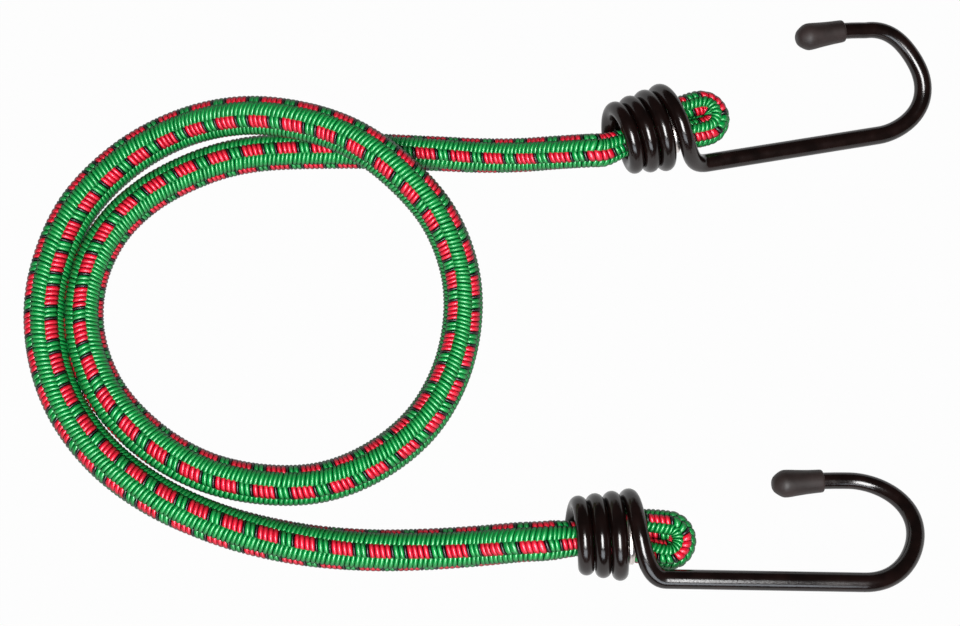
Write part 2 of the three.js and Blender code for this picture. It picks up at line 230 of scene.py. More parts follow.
# Hook wire with its coating
COIL_WIRE = 0.00398
SHANK_WIRE = 0.0046
ARM_WIRE = 0.0041
COIL_TURNS = 3
COIL_START = -95  # where the wire starts, in degrees from the first crest
COIL_STEP = 5  # degrees
TURN_PITCH = 0.00402
COIL_OPENING = 0.0004  # extra advance of the last quarter turn
COIL_RADIUS_SMALL = 0.0073  # middle of the wire
COIL_RADIUS_LARGE = 0.0091
COIL_LENGTH = COIL_TURNS * TURN_PITCH
SHANK_BEND = 0.0086
BEND_LEAVING = 0.0075
BEND_ARRIVING = 0.005
BEND_POINTS = 29
SHANK_POINTS = 12
CROOK_POINTS = 44
ARM_POINTS = 10
WIRE_SIDES = 28
WIRE_END_RADIUS = 0.86  # of the wire's radius, where its cut end is eased
WIRE_END_REACH = 0.12
END_SLIDE = {"a": 0.001, "b": 0.0}  # how far each hook and fold sits along the coil's axis from the joint

# Each hook as it was bent: its roll on the coil and its shank's slant in degrees, then lengths
HOOKS = {
    "a": {
        "roll": 18,
        "slant": 4.3,
        "offset": 0.0111,
        "length": 0.0462,
        "radius": 0.0135,
        "fuller": -0.0012,
        "arm": 0.016,
        "bow": 0.0013,
        "lean": 0.0008,
    },
    "b": {
        "roll": -27,
        "slant": 0.7,
        "offset": 0.0119,
        "length": 0.0466,
        "radius": 0.0142,
        "fuller": 0.0007,
        "arm": 0.0166,
        "bow": 0.0,
        "lean": 0.0013,
    },
}

# Tip cap: its outline from the bore at the lip to the middle of the blunt end, as length and radius
CAP_LENGTH = 0.0126
CAP_TIP_WALL = 0.0025  # vinyl past the end of the wire
CAP_SIDES = 40
CAP_OUTLINE = [
    (0.0009, 0.00207),
    (0.0001, 0.00226),
    (0.0, 0.00252),
    (0.0001, 0.00272),
    (0.0004, 0.00282),
    (0.0009, 0.00285),
    (0.0028, 0.00292),
    (0.0046, 0.00303),
    (0.0064, 0.00318),
    (0.008, 0.00334),
    (0.009, 0.00341),
    (0.0097, 0.00338),
    (0.0103, 0.0032),
    (0.011, 0.00281),
    (0.0117, 0.00231),
    (0.0122, 0.00183),
    (0.0125, 0.00128),
    (0.0126, 0.0006),
]

# Staple
STAPLE_X = 0.0127
STAPLE_WIDTH = 0.002
STAPLE_WALL = 0.0008
STAPLE_HALF_WIDTH = 0.0062
STAPLE_HALF_HEIGHT = 0.0046
STAPLE_FROM = -70  # degrees round the strands, from one leg's end to the other's
STAPLE_TO = 250
STAPLE_POINTS = 49
STAPLE_SQUARENESS = 4  # how quickly its bends turn into the straight back
STAPLE_EDGE_HEIGHT = 0.6  # of the wall, where its outer edges are rounded
STAPLE_FLAT = 0.35  # of the width, from the middle to where the rounding starts

# Yarn: fibres along and round a rib, the shades that they and a rib's tone bring, and the painted shade
# darkening its tucked ends
FIBRES_ALONG = 2.5
FIBRES_ROUND = 30
FIBRES_APART = 60  # how far the fibres of a light rib lie from a dark one's in the noise
FIBRE_DETAIL = 3
FIBRE_SHADE = 0.6
LEAST_SHADE = 0.62
TONE_SHADE = 0.24
# painted shade: how much darker a rib's colour is made at its tucked ends, and how quickly it comes in
TUCK_PAINTED_SHADE = -0.4
TUCK_POWER = 3
FIBRE_RELIEF = 0.12
FIBRE_HEIGHT = 0.0001
YARN_ROUGHNESS = 0.33
YARN_INDEX = 1.7
YARN_STREAK = 0.88  # how far a highlight is drawn out along the fibres

# Dipped coats: broad patches and a fine grain
PATCH_SCALE = 220
PATCH_DETAIL = 4
GRAIN_SCALE = 1500
GRAIN_DETAIL = 3
GRAIN_RELIEF = 0.18
GRAIN_HEIGHT = 0.00008
COAT_SHINE = 0.7
COAT_ROUGHNESS = (0.15, 0.22)
VINYL_ROUGHNESS = (0.5, 0.62)

# Inner tube and staple
SPECKLE_SCALE = 900
SPECKLE_DETAIL = 2
INNER_ROUGHNESS = 0.8
SCRATCH_SCALES = (4000, 300, 300)
SCRATCH_DETAIL = 3
ZINC_ROUGHNESS = (0.2, 0.35)
NOISE_LOW = 0.35  # most of a noise lies between these
NOISE_HIGH = 0.65

# Table and light
FLOOR_SIZE = 3.0
FLOOR_HEIGHT = -0.0002
FLOOR_COLOUR = (0.08, 0.08, 0.08, 1)
FLOOR_ROUGHNESS = 0.9
FLOOR_GLOW = 0.98  # share of plain white in the table as it is seen
SKY_AT_HORIZON = 0.05
SKY_OVERHEAD = 0.02
SKY_CHANGE = 0.8  # share of the way up where overhead begins

# Lamps: name, place, size, watts and colour
LAMPS = [
    ("key", (-0.07, -0.45, 1.03), (0.42, 0.66), 18, (1, 1, 1)),
    ("low_front", (-0.07, -0.95, 0.55), (0.7, 0.4), 4, (0.86, 0.93, 1.0)),
]

# Camera, fitted to the photograph
CAMERA_TARGET = (-0.0679, -0.002, 0.0)
CAMERA_ELEVATION = 78
CAMERA_DISTANCE = 0.415
CAMERA_LENS = 61.5
CAMERA_SENSOR = 36
CAMERA_NEAREST = 0.01


def unit(vectors):
    return vectors / np.linalg.norm(vectors, axis=-1, keepdims=True)


def ease(share):
    return share * share * (3 - 2 * share)


def linear(red, green, blue):
    """A colour as it is seen, 0 to 255, in the renderer's linear values."""
    values = []
    for seen in (red, green, blue):
        share = seen / 255
        values.append(share / 12.92 if share <= 0.04045 else ((share + 0.055) / 1.055) ** 2.4)
    return (*values, 1.0)


def add_mesh(name, points, faces, smooth=True):
    mesh = bpy.data.meshes.new(name)
    mesh.from_pydata(points.tolist(), [], faces)
    mesh.polygons.foreach_set("use_smooth", np.full(len(mesh.polygons), smooth))
    obj = bpy.data.objects.new(name, mesh)
    bpy.context.scene.collection.objects.link(obj)
    return obj


def ring_faces(rings, sides):
    """Faces between rings of points, with both ends left open."""
    faces = []
    for ring in range(rings - 1):
        here = ring * sides
        ahead = here + sides
        for side in range(sides):
            beyond = (side + 1) % sides
            faces.append((here + side, here + beyond, ahead + beyond, ahead + side))
    return faces


def bar_faces(rings, sides):
    """Faces between rings of points, with a flat face at each end."""
    faces = ring_faces(rings, sides)
    faces.append(tuple(reversed(range(sides))))
    faces.append(tuple((rings - 1) * sides + side for side in range(sides)))
    return faces


# Hook places

def joint(name):
    return next(row for row in frame["joints"] if row["name"] == name)


def end_axes(letter):
    """Where the coil's first crest is, and the directions along, beside and above the coil."""
    swivel = joint(f"swivel_{letter}")
    along = unit(np.array(swivel["axis"]))
    beside = unit(np.cross(WORLD_UP, along))
    crest = np.array(swivel["pos_m"]) + END_SLIDE[letter] * along
    return crest, np.array([along, beside, np.cross(along, beside)])


def place(letter, local, roll=0.0):
    """Points given along, beside and above the coil, in the model's frame. A hook is also rolled on it."""
    crest, axes = end_axes(letter)
    cosine = math.cos(math.radians(roll))
    sine = math.sin(math.radians(roll))
    along, beside, above = axes
    turned = np.array([along, cosine * beside + sine * above, cosine * above - sine * beside])
    return crest + np.asarray(local, float) @ turned


# Cord line

def smooth_line(points):
    """A centripetal curve through the points, and the place of each point in it."""
    padded = np.vstack([2 * points[0] - points[1], points, 2 * points[-1] - points[-2]])
    line = []
    share = np.arange(CURVE_STEPS)[:, None] / CURVE_STEPS
    for before, first, second, after in zip(padded, padded[1:], padded[2:], padded[3:]):
        gap_before = np.linalg.norm(first - before) ** 0.5
        gap = np.linalg.norm(second - first) ** 0.5
        gap_after = np.linalg.norm(after - second) ** 0.5
        slope = (second - first) / gap
        leave = ((first - before) / gap_before - (second - before) / (gap_before + gap) + slope) * gap
        arrive = (slope - (after - first) / (gap + gap_after) + (after - second) / gap_after) * gap
        line.append(
            first * (2 * share**3 - 3 * share**2 + 1)
            + leave * (share**3 - 2 * share**2 + share)
            + second * (3 * share**2 - 2 * share**3)
            + arrive * (share**3 - share**2)
        )
    return np.vstack([*line, points[-1:]]), np.arange(len(points)) * CURVE_STEPS


def lengths_along(line):
    return np.concatenate([[0], np.cumsum(np.linalg.norm(np.diff(line, axis=0), axis=1))])


def fold_rows(letter):
    """A folded end from the mouth to the tail: along the coil, beside it, half width, half height."""
    offset, radius = MOUTH[letter]
    rows = np.array([(0, -offset, radius, radius), *FOLD_LINE])
    past = np.clip((rows[:, 0] - FOLD_SHIFT_FROM) / FOLD_SHIFT_OVER, 0, 1)
    rows[:, 1] += FOLD_SHIFT[letter] * ease(past)
    return rows


class CordLine:
    """The cord's middle line from tail to tail.

    Lengths along it are counted from the nearer approach point of hook a to that of hook b.
    """

    def __init__(self):
        fold = {letter: fold_rows(letter) for letter in LETTERS}
        count = len(fold["a"])
        ends = {}
        for letter in LETTERS:
            inside = np.column_stack([fold[letter][:, :2], np.zeros(count)])
            outside = [(-back, -beside, 0) for back, beside in reversed(APPROACH[letter])]
            ends[letter] = place(letter, np.vstack([outside, inside]))
        middle = [(x, y, REST_HEIGHT + lift) for x, y, lift in ROUTE]
        line, at = smooth_line(np.vstack([ends["a"][::-1], middle, ends["b"]]))
        lengths = lengths_along(line)
        start = lengths[at[count]]
        self.length = lengths[at[-1 - count]] - start
        self.along = np.arange(0, lengths[-1], LINE_STEP)
        self.points = np.column_stack([np.interp(self.along, lengths, line[:, k]) for k in range(3)])
        self.along -= start
        marks = lengths[at] - start
        wide = np.interp(marks, *np.array(CORD_RADII).T)
        tall = wide.copy()
        wide[:count] = fold["a"][::-1, 2]
        tall[:count] = fold["a"][::-1, 3]
        wide[-count:] = fold["b"][:, 2]
        tall[-count:] = fold["b"][:, 3]
        self.wide = np.interp(self.along, marks, wide)
        self.tall = np.interp(self.along, marks, tall)
        tangent = unit(np.gradient(self.points, axis=0))
        upright = np.tile(WORLD_UP, (len(self.along), 1))
        upright[self.along < 0] = end_axes("a")[1][2]
        upright[self.along > self.length] = end_axes("b")[1][2]
        self.side = unit(np.cross(upright, tangent))
        self.up = np.cross(tangent, self.side)
        blocks, self.rib_places = np.array(BLOCK_MARKS).T
        self.ribs = blocks * PERIOD + BLOCK_MIDDLE

    def surface(self, along, degrees, proud):
        """Points on the cord at lengths and angles from its top, standing proud of its surface."""

        def pick(values):
            return np.interp(along, self.along, values)

        turn = np.radians(degrees + np.interp(along, *np.array(ROLLS).T))
        across = (pick(self.wide) + proud) * np.sin(turn)
        above = (pick(self.tall) + proud) * np.cos(turn)
        parts = [
            pick(self.points[:, k]) + across * pick(self.side[:, k]) + above * pick(self.up[:, k])
            for k in range(3)
        ]
        return np.stack(parts, -1)

    def at(self, along):
        return np.array([np.interp(along, self.along, self.points[:, k]) for k in range(3)])

    def rib_place(self, rib):
        return np.interp(rib, self.ribs, self.rib_places)


# Braid

chance = np.random.default_rng(CHANCE_SEED)


def mapped_tube(rings, sides):
    """Faces of a closed tube, its two flat ends last, and each face corner's place along and round it."""
    last = rings - 1
    faces = []
    corners = []
    for ring in range(last):
        here = ring * sides
        ahead = here + sides
        low = ring / last
        high = (ring + 1) / last
        for side in range(sides):
            beyond = (side + 1) % sides
            faces.append((here + side, ahead + side, ahead + beyond, here + beyond))
            near = side / sides
            far = (side + 1) / sides
            corners += [(low, near), (high, near), (high, far), (low, far)]
    turn = 2 * math.pi * np.arange(sides) / sides
    disc = np.array(END_DISC_MIDDLE) + END_DISC_RADIUS * np.column_stack([np.cos(turn), np.sin(turn)])
    faces.append(tuple(range(sides)))
    faces.append(tuple(last * sides + side for side in reversed(range(sides))))
    corners += disc.tolist() + disc[::-1].tolist()
    return faces, np.array(corners)


def ribs_of(cord, start, stop, plain):
    """Points of every rib of one slant whose middle lies between two lengths, and each rib's yarn."""
    numbers = np.arange(int(cord.ribs[0]), int(cord.ribs[-1]))
    number, column = [grid.ravel() for grid in np.meshgrid(numbers, np.arange(COLUMNS))]
    kind = number % PERIOD
    if plain:
        rib = number + PLAIN_SHIFT
        width = np.ones(len(number))
        yarn = np.full(len(number), YARNS.index("green"))
        half_turn = PLAIN_HALF_TURN
        slope = 1 / PLAIN_DEGREES_PER_RIB
        degrees = (column + 0.5) * COLUMN_ANGLE
    else:
        rib = number - kind + RIB_CENTRES[kind]
        width = RIB_WIDTHS[kind]
        yarn = RIB_YARNS[kind]
        half_turn = PATTERN_HALF_TURN
        slope = 1 / PATTERN_DEGREES_PER_RIB
        degrees = column * COLUMN_ANGLE
    rib = rib + column * COLUMN_SHIFT
    middle = cord.rib_place(rib)
    here = (middle >= start) & (middle < stop)
    count = here.sum()
    rib = rib[here] + RIB_UNEVEN * chance.uniform(-1, 1, count)
    width = width[here] * (1 + RIB_UNEVEN * chance.uniform(-1, 1, count))
    turn = RIB_STATIONS[:, None] * half_turn
    across = RIB_PROFILE[None, :, 0] * RIB_HALF_WIDTH * RIB_TAPER[:, None]
    ribs = rib[:, None, None] + slope * turn + across * width[:, None, None]
    dip = RIB_DIP * np.abs(RIB_STATIONS[:, None]) ** RIB_DIP_POWER
    proud = (RIB_PROFILE[None, :, 1] - 1) * RIB_THICKNESS - dip
    shape = ribs.shape
    angles = np.broadcast_to(degrees[here][:, None, None] + turn, shape)
    points = cord.surface(cord.rib_place(ribs), angles, np.broadcast_to(proud, shape))
    return points.reshape(count, -1, 3), yarn[here]


def base_tube(cord, start, stop):
    """The plain tube under the ribs: its points, its faces and each face corner's place on it."""
    steps = max(2, round((stop - start) / BASE_STEP))
    along = np.linspace(start, stop, steps + 1)[:, None]
    degrees = np.arange(BASE_SIDES)[None, :] * 360 / BASE_SIDES
    along, degrees = np.broadcast_arrays(along, degrees)
    points = cord.surface(along, degrees, np.full(along.shape, -BASE_DEPTH)).reshape(-1, 3)
    return points, *mapped_tube(steps + 1, BASE_SIDES)


def set_map(mesh, name, places):
    layer = mesh.uv_layers.new(name=name)
    layer.uv.foreach_set("vector", places.astype(np.float32).ravel())


def braid(name, cord, start, stop):
    """A stretch of the braid: its plain inner tube and every rib on it."""
    points, faces, base_corners = base_tube(cord, start, stop)
    rib_faces, rib_corners = mapped_tube(len(RIB_STATIONS), len(RIB_PROFILE))
    slanted = [ribs_of(cord, start, stop, plain) for plain in (False, True)]
    ribs = np.vstack([rib_points for rib_points, yarns in slanted])
    yarns = np.concatenate([yarns for rib_points, yarns in slanted])
    count, size = ribs.shape[:2]
    base_count = len(faces)
    for number in range(count):
        first = len(points) + number * size
        faces.extend(tuple(first + corner for corner in face) for face in rib_faces)
    obj = add_mesh(name, np.vstack([points, ribs.reshape(-1, 3)]), faces)
    mesh = obj.data
    for yarn in YARNS:
        mesh.materials.append(YARN_MATERIALS[yarn])
    slots = np.concatenate([np.full(base_count, YARNS.index("base")), np.repeat(yarns, len(rib_faces))])
    mesh.polygons.foreach_set("material_index", slots.astype(np.int32))
    tones = np.concatenate([np.zeros(len(points)), np.repeat(chance.uniform(0, 1, count), size)])
    mesh.attributes.new(TONE, "FLOAT", "POINT").data.foreach_set("value", tones.astype(np.float32))
    set_map(mesh, YARN_MAP, np.vstack([base_corners, np.tile(rib_corners, (count, 1))]))
    across = math.ceil(math.sqrt(count)) + 1
    cell = np.column_stack([np.arange(count) % across, 1 + np.arange(count) // across])
    local = CELL_MARGIN + CELL_FILL * rib_corners
    rib_map = (cell[:, None] + local[None]).reshape(-1, 2) / across
    map_unit = np.array([1, 1 / across])
    base_map = (base_corners * BASE_STRIP_SIZE + BASE_STRIP_CORNER) * map_unit
    set_map(mesh, PICTURE_MAP, np.vstack([base_map, rib_map]))
    return obj


# Hooks

def round_bar(name, line, outward, radii, sides):
    """A round bar along a line, with eased ends."""
    tangent = unit(np.gradient(line, axis=0))
    beside = unit(outward - (outward * tangent).sum(1, keepdims=True) * tangent)
    above = np.cross(tangent, beside)
    reach = WIRE_END_REACH * radii[0]
    line = np.vstack([line[:1] - tangent[:1] * reach, line, line[-1:] + tangent[-1:] * reach])
    beside = np.vstack([beside[:1], beside, beside[-1:]])
    above = np.vstack([above[:1], above, above[-1:]])
    radii = np.concatenate([[radii[0] * WIRE_END_RADIUS], radii, [radii[-1] * WIRE_END_RADIUS]])
    turn = np.arange(sides) * 2 * math.pi / sides
    ring = np.cos(turn)[None, :, None] * beside[:, None] + np.sin(turn)[None, :, None] * above[:, None]
    points = (line[:, None] + radii[:, None, None] * ring).reshape(-1, 3)
    return add_mesh(name, points, bar_faces(len(line), sides))


def coil_point(degrees):
    last_quarter = np.maximum(0, degrees / 360 - COIL_TURNS) * 4
    x = TURN_PITCH * degrees / 360 + COIL_OPENING * last_quarter**2
    radius = COIL_RADIUS_SMALL + (COIL_RADIUS_LARGE - COIL_RADIUS_SMALL) * x / COIL_LENGTH
    turn = np.radians(degrees)
    return np.stack([x, radius * np.cos(turn), radius * np.sin(turn)], -1)


class BentWire:
    """One hook's shank, crook and arm, lying in the plane of its coil's axis."""

    def __init__(self, letter):
        self.sizes = HOOKS[letter]
        slant = math.radians(self.sizes["slant"])
        self.shank = np.array([math.cos(slant), -math.sin(slant), 0])
        self.across = np.array([math.sin(slant), math.cos(slant), 0])
        self.start = np.array([COIL_LENGTH + SHANK_BEND, -self.sizes["offset"], 0])
        self.stop = self.start + self.sizes["length"] * self.shank
        self.centre = self.stop + self.sizes["radius"] * self.across

    def crook(self, degrees):
        """Points of the crook, and the directions away from its middle."""
        turn = np.radians(degrees)[:, None]
        forward = np.cos(turn)
        sideways = np.sin(turn)
        outward = forward * self.shank + sideways * self.across
        radius = self.sizes["radius"] + 2 * self.sizes["fuller"] * sideways * forward**3
        return self.centre + radius * outward, outward

    def arm(self, back):
        """Points of the arm at distances back from the crook."""
        share = np.asarray(back)[:, None] / self.sizes["arm"]
        bowed = self.sizes["bow"] * share * (2 - share) - self.sizes["lean"] * share**2
        sideways = (self.sizes["radius"] + bowed) * self.across
        return self.centre + sideways - share * self.sizes["arm"] * self.shank


def hook_line(wire):
    """The wire's middle line, the direction away from the coil or crook, and the wire's radius."""
    coil_end = COIL_TURNS * 360 + 90
    coil = coil_point(np.arange(COIL_START, coil_end + 1, COIL_STEP))
    leave = coil[-1]
    leaving = unit(leave - coil_point(np.array([coil_end - 1.0]))[0])
    first = leave + leaving * BEND_LEAVING
    second = wire.start - wire.shank * BEND_ARRIVING
    share = np.linspace(0, 1, BEND_POINTS)[1:, None]
    bend = (
        leave * (1 - share) ** 3
        + 3 * first * share * (1 - share) ** 2
        + 3 * second * share**2 * (1 - share)
        + wire.start * share**3
    )
    shank = np.linspace(wire.start, wire.stop, SHANK_POINTS)[1:-1]
    crook, outward = wire.crook(np.linspace(-90, 90, CROOK_POINTS))
    arm = wire.arm(np.linspace(0, wire.sizes["arm"], ARM_POINTS)[1:])
    line = np.vstack([coil, bend, shank, crook, arm])
    away = np.vstack([
        unit(np.vstack([coil, bend]) * np.array([0, 1, 1])),
        np.tile(-wire.across, (len(shank), 1)),
        outward,
        np.tile(wire.across, (len(arm), 1)),
    ])
    thickness = np.concatenate([
        np.full(len(coil), COIL_WIRE),
        COIL_WIRE + (SHANK_WIRE - COIL_WIRE) * ease(share[:, 0]),
        np.full(len(shank), SHANK_WIRE),
        np.linspace(SHANK_WIRE, ARM_WIRE, len(crook)),
        np.full(len(arm), ARM_WIRE),
    ])
    return line, away, thickness / 2


def hook(letter):
    line, away, radii = hook_line(BentWire(letter))
    roll = HOOKS[letter]["roll"]
    crest = place(letter, [(0, 0, 0)], roll)
    outward = place(letter, away, roll) - crest
    obj = round_bar(f"hook_{letter}", place(letter, line, roll), outward, radii, WIRE_SIDES)
    obj.data.materials.append(COAT)
    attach(obj, f"hook_{letter}")
    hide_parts(f"hook_wire_{letter}")


def cap(letter):
    """A dipped cap round the arm's end, with a blunt nose and a bore closed just inside the lip."""
    wire = BentWire(letter)
    end = wire.sizes["arm"]
    lip, tip = wire.arm([end - (CAP_LENGTH - CAP_TIP_WALL), end])
    along = unit(tip - lip)
    above = WORLD_UP
    beside = np.cross(above, along)
    turn = np.arange(CAP_SIDES) * 2 * math.pi / CAP_SIDES
    ring = np.cos(turn)[:, None] * beside + np.sin(turn)[:, None] * above
    rings = [lip + x * along + radius * ring for x, radius in CAP_OUTLINE]
    points = np.vstack([*rings, lip + CAP_LENGTH * along, lip + CAP_OUTLINE[0][0] * along])
    faces = ring_faces(len(rings), CAP_SIDES)
    last = (len(rings) - 1) * CAP_SIDES
    nose = len(points) - 2
    inside = len(points) - 1
    for side in range(CAP_SIDES):
        beyond = (side + 1) % CAP_SIDES
        faces.append((last + side, last + beyond, nose))
        faces.append((beyond, side, inside))
    obj = add_mesh(f"cap_{letter}", place(letter, points, HOOKS[letter]["roll"]), faces)
    obj.data.materials.append(VINYL)
    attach(obj, f"hook_{letter}")
    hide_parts(f"tip_cap_{letter}")


def staple(letter):
    """Flat wire bent round both strands, open underneath."""
    turn = np.radians(np.linspace(STAPLE_FROM, STAPLE_TO, STAPLE_POINTS))
    straight = STAPLE_HALF_WIDTH - STAPLE_HALF_HEIGHT
    shift = np.clip(np.cos(turn) * STAPLE_SQUARENESS, -1, 1) * straight
    edge = STAPLE_WIDTH / 2
    flat = STAPLE_WIDTH * STAPLE_FLAT
    edge_height = STAPLE_WALL * STAPLE_EDGE_HEIGHT
    section = [
        (-edge, 0.0),
        (edge, 0.0),
        (edge, edge_height),
        (flat, STAPLE_WALL),
        (-flat, STAPLE_WALL),
        (-edge, edge_height),
    ]
    points = []
    for angle, aside in zip(turn, shift):
        for along, wall in section:
            radius = STAPLE_HALF_HEIGHT + wall
            points.append((STAPLE_X + along, aside + radius * math.cos(angle), radius * math.sin(angle)))
    faces = bar_faces(len(turn), len(section))
    obj = add_mesh(f"staple_{letter}", place(letter, points), faces)
    obj.data.materials.append(ZINC)
    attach(obj, f"end_{letter}")
    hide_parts(f"staple_{letter}")


# Materials

def calc(tree, operation, *values):
    """A Math node's result. Each value is a number or another node's socket."""
    node = tree.nodes.new("ShaderNodeMath")
    node.operation = operation
    for socket, value in zip(node.inputs, values):
        if isinstance(value, (int, float)):
            socket.default_value = value
        else:
            tree.links.new(value, socket)
    return node.outputs[0]


def scaled(tree, colour, share):
    """A colour made darker or lighter by a value."""
    node = tree.nodes.new("ShaderNodeVectorMath")
    node.operation = "SCALE"
    tree.links.new(colour, node.inputs[0])
    tree.links.new(share, node.inputs["Scale"])
    return node.outputs[0]


def noise(tree, place_socket, scale, detail):
    node = tree.nodes.new("ShaderNodeTexNoise")
    node.inputs["Scale"].default_value = scale
    node.inputs["Detail"].default_value = detail
    tree.links.new(place_socket, node.inputs["Vector"])
    return node.outputs["Fac"]


def bump(tree, height, strength, distance):
    node = tree.nodes.new("ShaderNodeBump")
    node.inputs["Strength"].default_value = strength
    node.inputs["Distance"].default_value = distance
    tree.links.new(height, node.inputs["Height"])
    return node.outputs["Normal"]


def object_places(tree):
    return tree.nodes.new("ShaderNodeTexCoord").outputs["Object"]


def new_group(name, inputs, outputs):
    """A node group with named sockets."""
    group = bpy.data.node_groups.new(name, "ShaderNodeTree")
    for socket, kind in inputs:
        group.interface.new_socket(socket, in_out="INPUT", socket_type=kind)
    for socket, kind in outputs:
        group.interface.new_socket(socket, in_out="OUTPUT", socket_type=kind)
    return group


def yarn_fibres():
    """Fine fibres along a rib: its colour, with painted shade darkening it where the rib is tucked in, and
    the fibres' relief.
    """
    inputs = [("Colour", "NodeSocketColor")]
    outputs = [("Colour", "NodeSocketColor"), ("Normal", "NodeSocketVector")]
    group = new_group("yarn_fibres", inputs, outputs)
    start = group.nodes.new("NodeGroupInput")
    end = group.nodes.new("NodeGroupOutput")
    spot = group.nodes.new("ShaderNodeUVMap")
    spot.uv_map = YARN_MAP
    parts = group.nodes.new("ShaderNodeSeparateXYZ")
    group.links.new(spot.outputs["UV"], parts.inputs[0])
    along = parts.outputs["X"]
    tone_node = group.nodes.new("ShaderNodeAttribute")
    tone_node.attribute_name = TONE
    tone = tone_node.outputs["Fac"]
    fibre_place = group.nodes.new("ShaderNodeCombineXYZ")
    group.links.new(calc(group, "MULTIPLY", along, FIBRES_ALONG), fibre_place.inputs["X"])
    group.links.new(calc(group, "MULTIPLY", parts.outputs["Y"], FIBRES_ROUND), fibre_place.inputs["Y"])
    group.links.new(calc(group, "MULTIPLY", tone, FIBRES_APART), fibre_place.inputs["Z"])
    fibre = noise(group, fibre_place.outputs[0], 1, FIBRE_DETAIL)
    # painted shade: the colour is darkened towards a rib's ends, where it tucks under the next column
    off_middle = calc(group, "ABSOLUTE", calc(group, "MULTIPLY_ADD", along, 2, -1))
    tucked = calc(group, "POWER", off_middle, TUCK_POWER)
    shade = calc(group, "MULTIPLY_ADD", fibre, FIBRE_SHADE, LEAST_SHADE)
    shade = calc(group, "MULTIPLY_ADD", tone, TONE_SHADE, shade)
    shade = calc(group, "MULTIPLY_ADD", tucked, TUCK_PAINTED_SHADE, shade)
    group.links.new(scaled(group, start.outputs["Colour"], shade), end.inputs["Colour"])
    group.links.new(bump(group, fibre, FIBRE_RELIEF, FIBRE_HEIGHT), end.inputs["Normal"])
    return group


def coat_grain():
    """Uneven skin of a dipped coat: broad patches and a fine relief."""
    outputs = [("Patches", "NodeSocketFloat"), ("Normal", "NodeSocketVector")]
    group = new_group("coat_grain", [], outputs)
    end = group.nodes.new("NodeGroupOutput")
    places = object_places(group)
    broad = noise(group, places, PATCH_SCALE, PATCH_DETAIL)
    fine = noise(group, places, GRAIN_SCALE, GRAIN_DETAIL)
    group.links.new(broad, end.inputs["Patches"])
    group.links.new(bump(group, fine, GRAIN_RELIEF, GRAIN_HEIGHT), end.inputs["Normal"])
    return group


def material(name):
    """A new material with its nodes and main shader."""
    made = bpy.data.materials.new(name)
    made.use_nodes = True
    return made, made.node_tree, made.node_tree.nodes["Principled BSDF"]


def use_group(tree, group):
    node = tree.nodes.new("ShaderNodeGroup")
    node.node_tree = group
    return node


def value_range(tree, value, low, high):
    """A noise's value, spread over a range."""
    node = tree.nodes.new("ShaderNodeMapRange")
    node.inputs["From Min"].default_value = NOISE_LOW
    node.inputs["From Max"].default_value = NOISE_HIGH
    node.inputs["To Min"].default_value = low
    node.inputs["To Max"].default_value = high
    tree.links.new(value, node.inputs["Value"])
    return node.outputs["Result"]


def two_colours(tree, value, first, second):
    """A noise's value, spread from one colour to another."""
    node = tree.nodes.new("ShaderNodeValToRGB")
    node.color_ramp.elements[0].position = NOISE_LOW
    node.color_ramp.elements[0].color = first
    node.color_ramp.elements[1].position = NOISE_HIGH
    node.color_ramp.elements[1].color = second
    tree.links.new(value, node.inputs["Fac"])
    return node.outputs["Color"]


def facing_share(tree):
    """How squarely the surface faces the eye, from 1 down to 0 at its edge."""
    glance = tree.nodes.new("ShaderNodeLayerWeight")
    return calc(tree, "SUBTRACT", 1, glance.outputs["Facing"])


def yarn_material(name, colour, shine):
    """Shiny yarn whose reflection dulls towards the cord's edges, and whose colour is darkened there as
    painted shade.
    """
    made, tree, shader = material(name)
    fibres = use_group(tree, FIBRES)
    fibres.inputs["Colour"].default_value = colour
    facing = facing_share(tree)
    # painted shade: the yarn's colour is darkened as the surface turns away from the eye
    tree.links.new(scaled(tree, fibres.outputs["Colour"], facing), shader.inputs["Base Color"])
    tree.links.new(fibres.outputs["Normal"], shader.inputs["Normal"])
    tree.links.new(facing, shader.inputs["Specular IOR Level"])
    shader.inputs["Roughness"].default_value = YARN_ROUGHNESS
    shader.inputs["IOR"].default_value = YARN_INDEX
    shader.inputs["Specular Tint"].default_value = shine
    shader.inputs["Anisotropic"].default_value = YARN_STREAK
    direction = tree.nodes.new("ShaderNodeTangent")
    direction.direction_type = "UV_MAP"
    direction.uv_map = YARN_MAP
    tree.links.new(direction.outputs["Tangent"], shader.inputs["Tangent"])
    return made


def inner_material():
    made, tree, shader = material("inner_green")
    speckle = noise(tree, object_places(tree), SPECKLE_SCALE, SPECKLE_DETAIL)
    # a darker green than the yarn: painted shade for the gaps between the ribs, with a fine speckle
    colour = two_colours(tree, speckle, linear(0, 58, 24), linear(0, 84, 36))
    tree.links.new(colour, shader.inputs["Base Color"])
    shader.inputs["Roughness"].default_value = INNER_ROUGHNESS
    return made


def dipped_material(name, first, second, roughness):
    """A dipped coat between two colours, with its nodes and main shader."""
    made, tree, shader = material(name)
    grain = use_group(tree, GRAIN)
    patches = grain.outputs["Patches"]
    tree.links.new(two_colours(tree, patches, first, second), shader.inputs["Base Color"])
    tree.links.new(value_range(tree, patches, *roughness), shader.inputs["Roughness"])
    tree.links.new(grain.outputs["Normal"], shader.inputs["Normal"])
    return made, tree, shader


def coat_material():
    dark = linear(14, 7, 6)
    brown = linear(24, 12, 10)
    made, tree, shader = dipped_material("brown_black_coat", dark, brown, COAT_ROUGHNESS)
    shine = calc(tree, "MULTIPLY", facing_share(tree), COAT_SHINE)
    tree.links.new(shine, shader.inputs["Specular IOR Level"])
    return made


def vinyl_material():
    dark = linear(30, 21, 19)
    pale = linear(42, 30, 28)
    return dipped_material("grey_brown_vinyl", dark, pale, VINYL_ROUGHNESS)[0]


